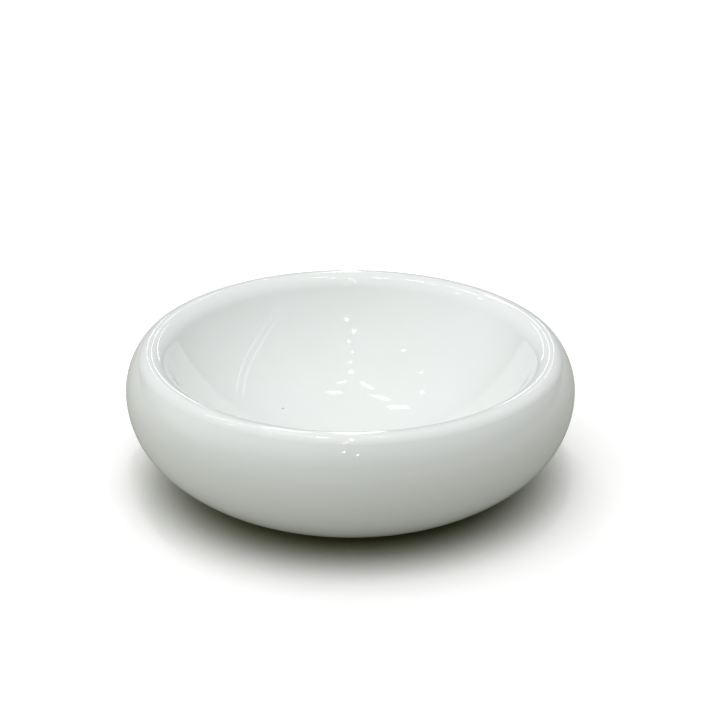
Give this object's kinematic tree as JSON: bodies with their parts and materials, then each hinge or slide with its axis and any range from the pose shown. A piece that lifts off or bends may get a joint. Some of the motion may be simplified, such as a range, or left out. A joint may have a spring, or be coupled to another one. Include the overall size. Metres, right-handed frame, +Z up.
{
  "type": "evaporating dish",
  "caption": "Round hollow-walled porcelain dish with a fat in-curving wall, a rolled rim, a deep smooth bowl and a low unglazed foot.",
  "frame": {"origin": "centre of the foot, on the surface that the dish stands on", "axes": "+Z up along the dish's axis, +X through the vent in the base"},
  "size_m": [0.2, 0.2, 0.0625],
  "materials": {
    "glaze": "gloss",
    "bisque": "matte",
    "stopper": "satin"
  },
  "bodies": {
    "root": {"inner_bowl": "glaze", "outer_wall": "glaze", "foot_ring": "bisque", "vent_plug": "stopper"}
  },
  "joints": []
}
